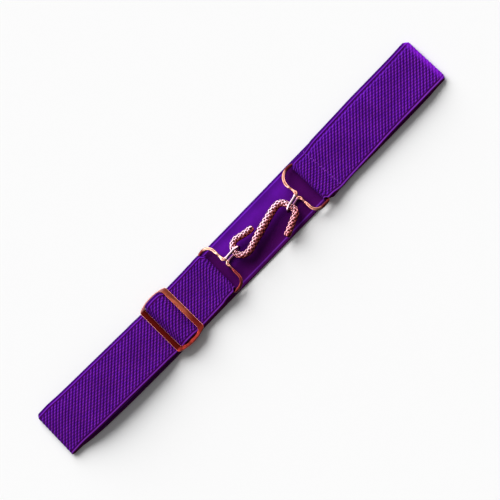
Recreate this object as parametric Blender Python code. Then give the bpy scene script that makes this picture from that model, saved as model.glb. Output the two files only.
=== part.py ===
"""Elastic snake belt, fastened and lying flat as one long closed loop.

The belt runs along X, its buckle faces up (+Z) and its back layer rests on Z = 0.
All sizes below are in millimetres. Meshes are made in metres.
"""

import math
from collections import namedtuple

import bmesh
import bpy
from mathutils import Matrix, Quaternion, Vector

MM = 0.001
GAP = 0.3                 # clearance kept between touching pieces and layers

# Elastic webbing
WEB_HALF = 16.0           # half of its width
WEB_THICK = 1.2
WEB_CHAMFER = 0.35        # rounding of its long edges
LAYER = WEB_THICK + GAP   # from one layer's middle to the next one's
BACK_Z = WEB_THICK / 2.0  # middle of the layer that rests on the table

# Creased ends of the flattened loop
LOOP_HALF = 156.8         # half the length of the flattened loop
END_RADIUS = 1.05         # of the crease's centre line
END_X = LOOP_HALF - END_RADIUS - WEB_THICK / 2.0
TUCK_WIDTH = 3.0          # width of each of its corners, which draw in
TUCK_RUN = 6.0            # length over which they do
TUCKS = {                 # how far each one draws in, by its end and its edge
    (-1.0, -1.0): 0.3, (-1.0, 1.0): 1.3,
    (1.0, -1.0): 1.3, (1.0, 1.0): 2.3,
}

# Wire rings, each with a standing eye on its front bar
RING_WIRE = 1.05          # wire radius
RING_HALF = 16.15         # middle to side leg
RING_REAR_CORNER = 2.8
RING_FRONT_CORNER = 5.2
RING_REAR_Z = 2.0 * LAYER + RING_WIRE
COLLAR_WIRE = 1.12        # swelling where a front bar meets the eye
EYE_WIRE = 0.75
EYE_HALF_HEIGHT = 3.65
EYE_Z = 6.2
EYE_BEND = 1.5            # bend from front bar into the eye
EYE_RAMP = 7.0            # length of front bar that climbs or dips to the eye
RING_SIDES = 8
# length runs from rear bar to front bar, lean carries the +Y front corner further out and
# eye_length runs from the front bar to the eye's far end.
Ring = namedtuple("Ring", "name rear_x facing y length lean eye_y eye_turn eye_length")
RINGS = (
    Ring("left_ring", -24.0, 1.0, -0.95, 11.0, 0.0, 0.55, 3.0, 12.3),
    Ring("right_ring", 57.05, -1.0, -1.45, 11.4, 0.6, -2.2, -9.5, 11.4),
)

# Folds of webbing round the rear bars
FOLD_RADIUS = 2.1
FOLD_Z = BACK_Z + LAYER + FOLD_RADIUS
FOLD_HALF = 14.6          # the webbing narrows to pass between the ring's legs
FOLD_PINCH = 1.0          # and draws in this much more at the crest of the fold
LEFT_FOLD_X = -21.5
RIGHT_FOLD_X = 57.2

# Slider with two flat outer bars and a thin centre bar
SLIDER_X = -58.85
SLIDER_TURN = 0.6         # degrees about the vertical
SLIDER_Y = -1.6
SLIDER_Z = 5.65
SLIDER_THICK = 1.5
SLIDER_HALF_LENGTH = 10.86
SLIDER_BAR = 3.6
SLIDER_CENTRE_BAR = 1.4
SLIDER_SLOT_HALF = 16.7
SLIDER_CORNER_HALF = 17.0
SLIDER_BOW = 2.2          # how far the short sides bulge past the corners
SLIDER_BEVEL = 0.4
SLOT_CORNER = 1.6         # beside the outer bars
SLOT_INNER_CORNER = 0.3   # beside the centre bar
OUTER_CORNER = 1.4

# Webbing end wrapped round the slider's centre bar
WRAP_RADIUS = 1.8
WRAP_HALF = 15.6
BULGE_Z = SLIDER_Z + WRAP_RADIUS + LAYER
UNDER_BAR_Z = SLIDER_Z - SLIDER_THICK / 2.0 - GAP - WEB_THICK / 2.0

# Snake-shaped hook
SNAKE_SIDES = 16
SNAKE_STEP = 1.0          # spacing of its rings of points
SNAKE_Z = 6.1
SNAKE_START = (11.8, 3.12)
SNAKE_HEADING = 175.3     # degrees, from the head's tip along the body
SCALE_RELIEF = 0.13       # scales stand this far above and below the mean skin
TIP_RINGS = ((0.55, 0.80), (0.90, 0.42))   # blunt tips: reach and size, as parts of the radius
Bend = namedtuple("Bend", "length turn radius")
SNAKE_BENDS = (
    Bend(9.35, -12.4, 2.35),
    Bend(5.0, 52.0, 2.10),
    Bend(13.0, 136.0, 2.05),
    Bend(4.0, 27.0, 2.20),
    Bend(12.0, -2.0, 2.60),
    Bend(12.5, -2.0, 2.35),
    Bend(4.5, -11.0, 2.25),
    Bend(6.2, -74.0, 2.05),
    Bend(5.3, -12.0, 2.05),
    Bend(5.1, -73.0, 2.15),
    Bend(11.6, -1.0, 1.95),
)
HEAD_RADIUS = 2.15

# Belt's nominal middle line, so that the part's box is centred on the origin
AXIS_Y = 1.0

# Layers of webbing. z and y place the middle of the strap, roll lifts its -Y edge in degrees
# and half is half its width.
Station = namedtuple("Station", "x z y roll half")

FIXED_END = (
    Station(RIGHT_FOLD_X, BACK_Z + LAYER, -1.45, 0.0, FOLD_HALF),
    Station(60.0, BACK_Z + LAYER, -1.4, 0.0, WEB_HALF),
    Station(73.6, BACK_Z + LAYER, -1.1, 0.0, WEB_HALF),
)
FRONT_RIGHT = (
    Station(RIGHT_FOLD_X, FOLD_Z + FOLD_RADIUS, -1.45, 0.0, FOLD_HALF),
    Station(60.0, 6.1, -1.4, 0.0, WEB_HALF),
    Station(66.9, 3.9, -1.1, 0.0, WEB_HALF),
    Station(75.0, 3.7, -0.8, 0.0, WEB_HALF),
    Station(93.0, 4.1, -0.4, 1.5, WEB_HALF),
    Station(110.0, 4.3, 0.1, 3.5, WEB_HALF),
    Station(126.0, 4.2, 0.3, 5.5, WEB_HALF),
    Station(141.0, 4.0, 0.4, 5.5, WEB_HALF),
    Station(149.0, 3.3, 0.7, 3.0, WEB_HALF),
    Station(END_X, BACK_Z + 2.0 * END_RADIUS, 1.2, 0.0, WEB_HALF),
)
BACK = (
    Station(-END_X, BACK_Z, 0.95, 0.0, WEB_HALF),
    Station(-149.5, BACK_Z, 1.2, 0.0, WEB_HALF),
    Station(-137.7, BACK_Z, 0.2, 0.0, WEB_HALF),
    Station(-126.0, BACK_Z, -0.4, 0.0, WEB_HALF),
    Station(-96.0, BACK_Z, -1.0, 0.0, WEB_HALF),
    Station(-72.6, BACK_Z, -0.9, 0.0, WEB_HALF),
    Station(-43.0, BACK_Z, 0.0, 0.0, WEB_HALF),
    Station(30.0, BACK_Z, 0.0, 0.0, WEB_HALF),
    Station(57.6, BACK_Z, 0.2, 0.0, WEB_HALF),
    Station(75.3, BACK_Z, 0.65, 0.0, WEB_HALF),
    Station(93.0, BACK_Z, 1.4, 0.0, WEB_HALF),
    Station(116.8, BACK_Z, 2.2, 0.0, WEB_HALF),
    Station(140.5, BACK_Z, 2.8, 0.0, WEB_HALF),
    Station(148.0, BACK_Z, 2.5, 0.0, WEB_HALF),
    Station(END_X, BACK_Z, 1.2, 0.0, WEB_HALF),
)
FRONT_LEFT = (
    Station(-END_X, BACK_Z + 2.0 * END_RADIUS, 0.95, 0.0, WEB_HALF),
    Station(-149.0, 3.5, 1.1, 1.0, WEB_HALF),
    Station(-137.7, 5.9, 0.15, 3.0, WEB_HALF),
    Station(-125.8, 7.3, -0.6, 3.5, WEB_HALF),
    Station(-114.0, 7.7, -0.95, 4.0, WEB_HALF),
    Station(-96.2, 7.3, -1.3, 3.5, WEB_HALF),
    Station(-84.4, 6.6, -1.4, 3.0, WEB_HALF),
    Station(-76.5, 5.5, -1.4, 1.5, WEB_HALF),
    Station(-70.7, UNDER_BAR_Z, -1.4, 0.0, WEB_HALF),
    Station(-65.5, UNDER_BAR_Z, -1.4, 0.0, WEB_HALF),
    Station(-63.1, 6.4, -1.4, 0.0, WEB_HALF),
    Station(-61.0, 8.2, -1.4, 0.0, WEB_HALF),
    Station(SLIDER_X, BULGE_Z, -1.4, 0.0, WEB_HALF),
    Station(-56.7, 8.2, -1.4, 0.0, WEB_HALF),
    Station(-54.6, 6.4, -1.35, 0.0, WEB_HALF),
    Station(-52.2, UNDER_BAR_Z, -1.3, 0.0, WEB_HALF),
    Station(-46.0, UNDER_BAR_Z, -1.2, 0.0, WEB_HALF),
    Station(-36.0, 4.2, -1.0, 0.0, WEB_HALF),
    Station(-31.0, 4.6, -0.95, 0.0, WEB_HALF),
    Station(-27.5, 5.6, -0.95, 0.0, WEB_HALF),
    Station(-24.5, 6.25, -0.95, 0.0, WEB_HALF),
    Station(LEFT_FOLD_X, FOLD_Z + FOLD_RADIUS, -0.95, 0.0, FOLD_HALF),
)
RETURN = (
    Station(SLIDER_X, SLIDER_Z - WRAP_RADIUS, -1.4, 0.0, WRAP_HALF),
    Station(-56.5, 3.6, -1.4, 0.0, WEB_HALF),
    Station(-52.5, 2.25, -1.35, 0.0, WEB_HALF),
    Station(-49.0, BACK_Z + LAYER, -1.3, 0.0, WEB_HALF),
    Station(-36.0, BACK_Z + LAYER, -1.0, 0.0, WEB_HALF),
    Station(-24.5, BACK_Z + LAYER, -0.95, 0.0, WEB_HALF),
    Station(LEFT_FOLD_X, BACK_Z + LAYER, -0.95, 0.0, FOLD_HALF),
)


def material(name, colour, metallic, roughness):
    """A plain finish for one piece."""
    made = bpy.data.materials.new(name)
    made.use_nodes = True
    shader = made.node_tree.nodes["Principled BSDF"]
    shader.inputs["Base Color"].default_value = (*colour, 1.0)
    shader.inputs["Metallic"].default_value = metallic
    shader.inputs["Roughness"].default_value = roughness
    made.diffuse_color = (*colour, 1.0)
    return made


def add_object(name, bm, finish, sharp_deg=40.0):
    """Turn a bmesh in millimetres, drawn about the belt's middle line, into a named object."""
    for vert in bm.verts:
        vert.co = Vector((vert.co.x, vert.co.y + AXIS_Y, vert.co.z)) * MM
    bmesh.ops.recalc_face_normals(bm, faces=bm.faces)
    mesh = bpy.data.meshes.new(name)
    bm.to_mesh(mesh)
    bm.free()
    mesh.shade_smooth()
    mesh.set_sharp_from_angle(angle=math.radians(sharp_deg))
    mesh.materials.append(finish)
    made = bpy.data.objects.new(name, mesh)
    bpy.context.scene.collection.objects.link(made)
    return made


def skin(bm, loops, closed):
    """Join loops of points into a tube; an open one gets flat ends."""
    rings = [[bm.verts.new(point) for point in loop] for loop in loops]
    following = rings[1:] + rings[:1] if closed else rings[1:]
    for ring, after in zip(rings, following):
        for index, vert in enumerate(ring):
            beside = (index + 1) % len(ring)
            bm.faces.new((vert, ring[beside], after[beside], after[index]))
    if not closed:
        bm.faces.new(rings[0])
        bm.faces.new(rings[-1])


def smoothstep(value):
    """Ease from 0 to 1."""
    value = min(1.0, max(0.0, value))
    return value * value * (3.0 - 2.0 * value)


def column(rows, field, x):
    """Read one column of a table of stations at x, by a cubic that never overshoots."""
    xs = [row.x for row in rows]
    ys = [getattr(row, field) for row in rows]
    rates = [(ys[i + 1] - ys[i]) / (xs[i + 1] - xs[i]) for i in range(len(xs) - 1)]
    slopes = [0.0] * len(xs)
    for i in range(1, len(xs) - 1):
        if rates[i - 1] * rates[i] > 0.0:
            slopes[i] = 2.0 * rates[i - 1] * rates[i] / (rates[i - 1] + rates[i])
    i = max(0, min(len(xs) - 2, sum(1 for known in xs if known <= x) - 1))
    width = xs[i + 1] - xs[i]
    t = (x - xs[i]) / width
    return (
        ys[i] + (ys[i + 1] - ys[i]) * t * t * (3.0 - 2.0 * t)
        + width * t * (1.0 - t) * (slopes[i] * (1.0 - t) - slopes[i + 1] * t)
    )


def layer(rows, step, backwards=False):
    """Stations along one layer, no further apart than step, from its table."""
    made = [rows[0]]
    for here, there in zip(rows, rows[1:]):
        parts = max(1, math.ceil((there.x - here.x) / step))
        for part in range(1, parts + 1):
            x = here.x + (there.x - here.x) * part / parts
            made.append(Station(x, *(column(rows, field, x) for field in Station._fields[1:])))
    return made[::-1] if backwards else made


def turn(centre_x, centre_z, radius, start_deg, end_deg, before, after, steps, pinch=0.0):
    """Stations round a fold, between the last one of a layer and the first one of the next."""
    made = []
    for step in range(1, steps):
        t = step / steps
        angle = math.radians(start_deg + (end_deg - start_deg) * t)
        y, roll, half = (getattr(before, f) * (1.0 - t) + getattr(after, f) * t for f in ("y", "roll", "half"))
        x = centre_x + radius * math.cos(angle)
        z = centre_z + radius * math.sin(angle)
        made.append(Station(x, z, y, roll, half - pinch * math.sin(math.pi * t)))
    return made


def strap_path():
    """Middle of the webbing from its sewn end, round the loop, to its end at the slider."""
    fixed_end = layer(FIXED_END, 8.0, backwards=True)
    front_right = layer(FRONT_RIGHT, 6.0)
    back = layer(BACK, 12.0, backwards=True)
    front_left = layer(FRONT_LEFT, 5.0)
    returned = layer(RETURN, 5.0, backwards=True)
    right_fold = turn(
        RIGHT_FOLD_X, FOLD_Z, FOLD_RADIUS, 270.0, 90.0, fixed_end[-1], front_right[0], 8,
        FOLD_PINCH)
    right_end = turn(
        END_X, BACK_Z + END_RADIUS, END_RADIUS, 90.0, -90.0, front_right[-1], back[0], 6)
    left_end = turn(
        -END_X, BACK_Z + END_RADIUS, END_RADIUS, 270.0, 90.0, back[-1], front_left[0], 6)
    left_fold = turn(
        LEFT_FOLD_X, FOLD_Z, FOLD_RADIUS, 90.0, -90.0, front_left[-1], returned[0], 8,
        FOLD_PINCH)
    wrap = turn(SLIDER_X, SLIDER_Z, WRAP_RADIUS, 270.0, -12.0, returned[-1], returned[-1], 14)
    return (
        fixed_end + right_fold + front_right + right_end + back
        + left_end + front_left + left_fold + returned + wrap
    )


def strap_section(station, along_x, along_z):
    """Outline of the webbing across its width, with drawn-in corners at the creased ends."""
    length = math.hypot(along_x, along_z)
    outward = Vector((-along_z / length, 0.0, along_x / length))
    sideways = Vector((0.0, 1.0, 0.0))
    roll = math.radians(station.roll)
    across = sideways * math.cos(roll) - outward * math.sin(roll)
    normal = outward * math.cos(roll) + sideways * math.sin(roll)
    centre = Vector((station.x, station.y, station.z))
    end = math.copysign(1.0, station.x)
    near_end = smoothstep((abs(station.x) - END_X + TUCK_RUN) / TUCK_RUN)
    half = station.half
    thick = WEB_THICK / 2.0
    outline = [
        (-half + WEB_CHAMFER, -thick), (-half + TUCK_WIDTH, -thick),
        (half - TUCK_WIDTH, -thick), (half - WEB_CHAMFER, -thick),
        (half, -thick + WEB_CHAMFER), (half, thick - WEB_CHAMFER),
        (half - WEB_CHAMFER, thick), (half - TUCK_WIDTH, thick),
        (-half + TUCK_WIDTH, thick), (-half + WEB_CHAMFER, thick),
        (-half, thick - WEB_CHAMFER), (-half, -thick + WEB_CHAMFER),
    ]
    points = []
    for s, n in outline:
        point = centre + across * s + normal * n
        if abs(s) > half - TUCK_WIDTH + WEB_CHAMFER:
            point.x -= end * near_end * TUCKS[end, math.copysign(1.0, s)]
        points.append(point)
    return points


def make_strap(finish):
    """The elastic webbing, one closed strip from end to end."""
    path = strap_path()
    sections = []
    for index, station in enumerate(path):
        before = path[max(0, index - 1)]
        after = path[min(len(path) - 1, index + 1)]
        sections.append(strap_section(station, after.x - before.x, after.z - before.z))
    bm = bmesh.new()
    skin(bm, sections, closed=False)
    return add_object("webbing_strap", bm, finish)


def round_corners(corners, step_deg=18.0):
    """Plan points of a path through corners given as (x, y, radius)."""
    made = [Vector(corners[0][:2])]
    for before, (x, y, radius), after in zip(corners, corners[1:], corners[2:]):
        corner = Vector((x, y))
        back = (Vector(before[:2]) - corner).normalized()
        ahead = (Vector(after[:2]) - corner).normalized()
        opening = back.angle(ahead)
        reach = radius / math.tan(opening / 2.0)
        centre = corner + (back + ahead).normalized() * (radius / math.sin(opening / 2.0))
        start = corner + back * reach - centre
        sweep = math.pi - opening
        sweep = math.copysign(sweep, back.x * ahead.y - back.y * ahead.x) * -1.0
        steps = max(2, math.ceil(abs(math.degrees(sweep)) / step_deg))
        for part in range(steps + 1):
            angle = sweep * part / steps
            turned = Vector((
                start.x * math.cos(angle) - start.y * math.sin(angle),
                start.x * math.sin(angle) + start.y * math.cos(angle),
            ))
            made.append(centre + turned)
    made.append(Vector(corners[-1][:2]))
    return made


def divide(points, longest):
    """Split the long straights of a path."""
    made = [points[0]]
    for here, there in zip(points, points[1:]):
        parts = max(1, math.ceil((there - here).length / longest))
        made += [here.lerp(there, part / parts) for part in range(1, parts + 1)]
    return made


def ring_half(ring, side):
    """Centre line and wire radii from the rear bar's middle to the eye's far end, on one side.

    Plan x is measured from the rear bar towards the eye, y from the ring's own middle.
    """
    eye_y = ring.eye_y - ring.y
    along = Vector((math.cos(math.radians(ring.eye_turn)), math.sin(math.radians(ring.eye_turn))))
    eye_start = Vector((ring.length, eye_y))
    rail_end = eye_start + along * (ring.eye_length - EYE_HALF_HEIGHT)
    corner_x = ring.length + (ring.lean if side > 0.0 else 0.0)
    plan = divide(round_corners([
        (0.0, 0.0, 0.0),
        (0.0, side * RING_HALF, RING_REAR_CORNER),
        (corner_x, side * RING_HALF, RING_FRONT_CORNER),
        (eye_start.x, eye_start.y, EYE_BEND),
        (rail_end.x, rail_end.y, 0.0),
    ]), 2.0)
    made = []
    for point in plan:
        from_eye = (point - eye_start).length
        on_rail = point.x > ring.length + EYE_BEND
        climb = 1.0 if on_rail else smoothstep(1.0 - (from_eye - EYE_BEND) / EYE_RAMP)
        near_front = point.x > ring.length - RING_FRONT_CORNER / 2.0
        lift = side * EYE_HALF_HEIGHT * climb if near_front else 0.0
        plane = RING_REAR_Z + (EYE_Z - RING_REAR_Z) * min(1.0, point.x / ring.length)
        wire = RING_WIRE
        if near_front and from_eye < EYE_RAMP:
            swell = smoothstep(1.0 - abs(from_eye - 2.0 * EYE_BEND) / EYE_BEND)
            thin = smoothstep((2.0 * EYE_BEND - from_eye) / EYE_BEND)
            wire = RING_WIRE + (COLLAR_WIRE - RING_WIRE) * swell
            wire += (EYE_WIRE - wire) * (1.0 if on_rail else thin)
        made.append((Vector((point.x, point.y, plane + lift)), wire))
    for part in range(1, 6):
        angle = math.radians(18.0 * part)
        spot = rail_end + along * (EYE_HALF_HEIGHT * math.sin(angle))
        made.append((Vector((spot.x, spot.y, EYE_Z + side * EYE_HALF_HEIGHT * math.cos(angle))), EYE_WIRE))
    return made


def tube_loops(points, radii, sides, closed):
    """Round sections along a path, carried without twist; a closed one shares out what is left."""
    count = len(points)
    directions = []
    for index in range(count):
        before = points[index - 1] if closed or index else points[0]
        after = points[(index + 1) % count] if closed or index < count - 1 else points[-1]
        directions.append((after - before).normalized())
    side = directions[0].orthogonal().normalized()
    sides_along = [side]
    for before, after in zip(directions, directions[1:]):
        side = before.rotation_difference(after) @ side
        side = (side - after * side.dot(after)).normalized()
        sides_along.append(side)
    left_over = 0.0
    if closed:
        back = directions[-1].rotation_difference(directions[0]) @ side
        first = sides_along[0]
        left_over = math.atan2(back.cross(first).dot(directions[0]), back.dot(first))
    loops = []
    for index, (point, radius) in enumerate(zip(points, radii)):
        spin = Quaternion(directions[index], left_over * index / count)
        out = spin @ sides_along[index]
        up = directions[index].cross(out)
        angles = [2.0 * math.pi * k / sides for k in range(sides)]
        loops.append([point + (out * math.cos(a) + up * math.sin(a)) * radius for a in angles])
    return loops


def make_ring(ring, finish):
    """One cast ring: rear bar, two legs and a front bar whose halves run into the standing eye."""
    upper = ring_half(ring, 1.0)
    lower = ring_half(ring, -1.0)
    path = upper + lower[-2:0:-1]
    points = []
    for point, _ in path:
        points.append(Vector((ring.rear_x + ring.facing * point.x, ring.y + point.y, point.z)))
    bm = bmesh.new()
    skin(bm, tube_loops(points, [wire for _, wire in path], RING_SIDES, True), closed=True)
    return add_object(ring.name, bm, finish)


def slider_outline():
    """Outer edge of the slider in plan: straight long sides and bowed short ones."""
    half = SLIDER_HALF_LENGTH
    side = []
    for index in range(13):
        x = half * (1.0 - index / 6.0)
        bow = SLIDER_BOW * (1.0 - (x / half) ** 2)
        side.append((x, SLIDER_CORNER_HALF + bow))
    corners = [(half, 0.0, 0.0), (half, SLIDER_CORNER_HALF, OUTER_CORNER), (side[1][0], side[1][1], 0.0)]
    rounded = round_corners(corners, 22.5)
    quarter = rounded + [Vector(point) for point in side[2:7]]
    mirrored = [Vector((-point.x, point.y)) for point in quarter[-2::-1]]
    top = quarter + mirrored
    return top + [Vector((point.x, -point.y)) for point in top[-2:0:-1]]


def plate(bm, outline, low, high):
    """A flat plate of any outline between two heights."""
    bottom = [bm.verts.new((point.x, point.y, low)) for point in outline]
    top = [bm.verts.new((point.x, point.y, high)) for point in outline]
    bm.faces.new(bottom[::-1])
    bm.faces.new(top)
    for index in range(len(outline)):
        beside = (index + 1) % len(outline)
        bm.faces.new((bottom[index], bottom[beside], top[beside], top[index]))


def make_slider(finish):
    """The slider's frame, cut through by the two slots that leave its centre bar."""
    bm = bmesh.new()
    half_thick = SLIDER_THICK / 2.0
    place = Matrix.Translation((SLIDER_X, SLIDER_Y, SLIDER_Z)) @ Matrix.Rotation(
        math.radians(SLIDER_TURN), 4, "Z")
    plate(bm, slider_outline(), -half_thick, half_thick)
    bmesh.ops.transform(bm, matrix=place, verts=bm.verts)
    frame = add_object("slider", bm, finish)

    bm = bmesh.new()
    near = SLIDER_CENTRE_BAR / 2.0
    far = SLIDER_HALF_LENGTH - SLIDER_BAR
    for hand in (-1.0, 1.0):
        corners = [
            (hand * (near + far) / 2.0, -SLIDER_SLOT_HALF, 0.0),
            (hand * far, -SLIDER_SLOT_HALF, SLOT_CORNER),
            (hand * far, SLIDER_SLOT_HALF, SLOT_CORNER),
            (hand * near, SLIDER_SLOT_HALF, SLOT_INNER_CORNER),
            (hand * near, -SLIDER_SLOT_HALF, SLOT_INNER_CORNER),
            (hand * (near + far) / 2.0, -SLIDER_SLOT_HALF, 0.0),
        ]
        plate(bm, round_corners(corners, 22.5)[:-1], -2.0 * SLIDER_THICK, 2.0 * SLIDER_THICK)
    bmesh.ops.transform(bm, matrix=place, verts=bm.verts)
    cutter = add_object("slider_slots_cutter", bm, finish)
    cutter.hide_render = True
    cutter.display_type = "WIRE"

    slots = frame.modifiers.new("Slots", "BOOLEAN")
    slots.operation = "DIFFERENCE"
    slots.object = cutter
    edges = frame.modifiers.new("Soft edges", "BEVEL")
    edges.width = SLIDER_BEVEL * MM
    edges.segments = 2
    edges.limit_method = "ANGLE"
    edges.angle_limit = math.radians(50.0)
    return frame


def snake_path():
    """Points of the snake's centre line with its radius, from the head's tip to the tail's."""
    x, y = SNAKE_START
    heading = math.radians(SNAKE_HEADING)
    radius = HEAD_RADIUS
    points = [Vector((x, y, SNAKE_Z))]
    radii = [radius]
    for bend in SNAKE_BENDS:
        steps = max(1, round(bend.length / SNAKE_STEP))
        bit = math.radians(bend.turn) / steps
        for step in range(1, steps + 1):
            x += bend.length / steps * math.cos(heading + bit / 2.0)
            y += bend.length / steps * math.sin(heading + bit / 2.0)
            heading += bit
            points.append(Vector((x, y, SNAKE_Z)))
            radii.append(radius + (bend.radius - radius) * smoothstep(step / steps))
        radius = bend.radius
    return points, radii


def make_snake(finish):
    """The S-shaped hook, its scales raised in a lozenge pattern, with blunt rounded tips."""
    points, radii = snake_path()
    loops = tube_loops(points, radii, SNAKE_SIDES, False)
    scaled = []
    for row, (centre, loop, radius) in enumerate(zip(points, loops, radii)):
        ring = []
        for index, point in enumerate(loop):
            relief = SCALE_RELIEF if (row + index) % 2 else -SCALE_RELIEF
            ring.append(centre + (point - centre) * (1.0 + relief / radius))
        scaled.append(ring)
    for end, inner, place in ((0, 1, 0), (-1, -2, None)):
        outward = (points[end] - points[inner]).normalized()
        caps = []
        for reach, size in TIP_RINGS:
            shift = outward * reach * radii[end]
            caps.append([points[end] + (p - points[end]) * size + shift for p in loops[end]])
        if place == 0:
            scaled = caps[::-1] + scaled
        else:
            scaled = scaled + caps
    bm = bmesh.new()
    skin(bm, scaled, closed=False)
    return add_object("snake_hook", bm, finish, sharp_deg=60.0)


def main():
    """Clear the scene and build the belt."""
    for old in list(bpy.data.objects):
        bpy.data.objects.remove(old, do_unlink=True)
    webbing = material("purple_elastic", (0.13, 0.02, 0.36), 0.0, 0.75)
    rose_gold = material("rose_gold", (0.86, 0.53, 0.45), 1.0, 0.28)
    copper = material("copper", (0.72, 0.30, 0.12), 1.0, 0.26)
    make_strap(webbing)
    for ring in RINGS:
        make_ring(ring, rose_gold)
    make_snake(rose_gold)
    make_slider(copper)


main()
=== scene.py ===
import math

import bmesh
import bpy
import numpy as np
from mathutils import Matrix, Quaternion, Vector
from mathutils.bvhtree import BVHTree


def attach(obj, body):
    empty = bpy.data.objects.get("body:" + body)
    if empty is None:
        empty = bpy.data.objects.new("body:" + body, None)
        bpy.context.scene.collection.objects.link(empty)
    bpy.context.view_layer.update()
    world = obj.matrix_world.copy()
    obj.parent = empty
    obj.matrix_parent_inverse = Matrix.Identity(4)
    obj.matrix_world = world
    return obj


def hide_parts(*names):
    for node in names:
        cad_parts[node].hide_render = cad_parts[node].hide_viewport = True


# An elastic belt lying flat, closed by a snake-shaped hook through two wire rings.
# Belt runs along X, buckle faces up. Tables are in millimetres, meshes in metres.

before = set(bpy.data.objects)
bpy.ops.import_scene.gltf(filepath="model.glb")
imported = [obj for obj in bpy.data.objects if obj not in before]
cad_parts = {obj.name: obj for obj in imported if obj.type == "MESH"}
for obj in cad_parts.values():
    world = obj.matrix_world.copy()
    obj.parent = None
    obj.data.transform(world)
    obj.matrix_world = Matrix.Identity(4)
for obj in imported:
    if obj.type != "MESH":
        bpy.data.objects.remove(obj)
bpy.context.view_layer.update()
mm = 0.001
axisY = 1.0  # the tables' middle line lies this far from the frame's
print("frame loaded")

camera = {
    "aim": (0.0027, -0.0029, 0.0),
    "distance": 1.479,
    "tilt": 17.0,  # from straight above, towards the viewer
    "roll": 45.35,
    "lens": 180.0,
    "sensor": 36.0,
}


def makeCamera(c):
    tilt = math.radians(c["tilt"])
    back = Vector((0.0, -math.sin(tilt), math.cos(tilt)))
    right = Vector((1.0, 0.0, 0.0))
    up = back.cross(right)
    data = bpy.data.cameras.new("beltCamera")
    data.lens = c["lens"]
    data.sensor_width = c["sensor"]
    made = bpy.data.objects.new("beltCamera", data)
    bpy.context.scene.collection.objects.link(made)
    turn = Matrix((right, up, back)).transposed()
    turn = turn @ Matrix.Rotation(-math.radians(c["roll"]), 3, "Z")
    place = Vector(c["aim"]) + back * c["distance"]
    made.matrix_world = Matrix.Translation(place) @ turn.to_4x4()
    bpy.context.scene.camera = made


makeCamera(camera)
print("camera placed")


class Wire:
    # one socket, so that 1 - mask or height * 0.4 adds the Math nodes it needs
    def __init__(self, tree, socket):
        self.tree = tree
        self.socket = socket

    def node(self, kind, settings=None, values=None, output=0):
        made = self.tree.nodes.new(kind)
        for name, value in (settings or {}).items():
            if name == "stops":
                setStops(made.color_ramp, value)
            else:
                setattr(made, name, value)
        for name, value in (values or {}).items():
            if isinstance(value, Wire):
                self.tree.links.new(value.socket, made.inputs[name])
            else:
                made.inputs[name].default_value = value
        return Wire(self.tree, made.outputs[output])

    def maths(self, operation, first, second=0.0):
        return self.node("ShaderNodeMath", {"operation": operation}, {0: first, 1: second})

    def __add__(self, other):
        return self.maths("ADD", self, other)

    def __radd__(self, other):
        return self.maths("ADD", other, self)

    def __sub__(self, other):
        return self.maths("SUBTRACT", self, other)

    def __rsub__(self, other):
        return self.maths("SUBTRACT", other, self)

    def __mul__(self, other):
        return self.maths("MULTIPLY", self, other)

    def __rmul__(self, other):
        return self.maths("MULTIPLY", other, self)

    def __truediv__(self, other):
        return self.maths("DIVIDE", self, other)

    def __rtruediv__(self, other):
        return self.maths("DIVIDE", other, self)

    def wave(self):  # 1 at every whole number, 0 half way between
        return self.maths("COSINE", self * (2.0 * math.pi)) * 0.5 + 0.5

    def part(self, index):  # one of a vector's three numbers
        return self.node("ShaderNodeSeparateXYZ", None, {"Vector": self}, index)

    def rise(self, low, high):  # 0 below low, 1 above high, eased between
        return self.node(
            "ShaderNodeMapRange", {"interpolation_type": "SMOOTHSTEP"},
            {"Value": self, "From Min": low, "From Max": high, "To Min": 0.0, "To Max": 1.0})

    def band(self, start, full, fullTo, end):
        return self.rise(start, full) * (1.0 - self.rise(fullTo, end))

    def noise(self, scale, detail, roughness, space="3D"):
        return self.node(
            "ShaderNodeTexNoise", {"noise_dimensions": space},
            {"Vector": self, "Scale": scale, "Detail": detail, "Roughness": roughness})

    def bump(self, strength, depth):
        return self.node(
            "ShaderNodeBump", None, {"Strength": strength, "Distance": depth, "Height": self})

    def mix(self, first, second):  # colours, this wire being the factor
        return self.node(
            "ShaderNodeMix", {"data_type": "RGBA"},
            {"Factor": self, 6: first, 7: second}, 2)


def setStops(ramp, stops):
    while len(ramp.elements) < len(stops):
        ramp.elements.new(0.5)
    for element, (position, colour) in zip(ramp.elements, stops):
        element.position = position
        element.color = colour


def rgb(red, green, blue):
    return (red, green, blue, 1.0)


def startFinish(name):
    made = bpy.data.materials.new(name)
    made.use_nodes = True
    tree = made.node_tree
    shader = tree.nodes["Principled BSDF"]
    return made, Wire(tree, None), shader


def setSockets(w, shader, values):
    for name, value in values.items():
        if isinstance(value, Wire):
            w.tree.links.new(value.socket, shader.inputs[name])
        else:
            shader.inputs[name].default_value = value


def ease(value):
    value = np.clip(value, 0.0, 1.0)
    return value * value * (3.0 - 2.0 * value)


def hump(value):  # smooth bump over -1..1
    value = np.clip(np.abs(value), 0.0, 1.0)
    return 0.5 + 0.5 * np.cos(math.pi * value)


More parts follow.
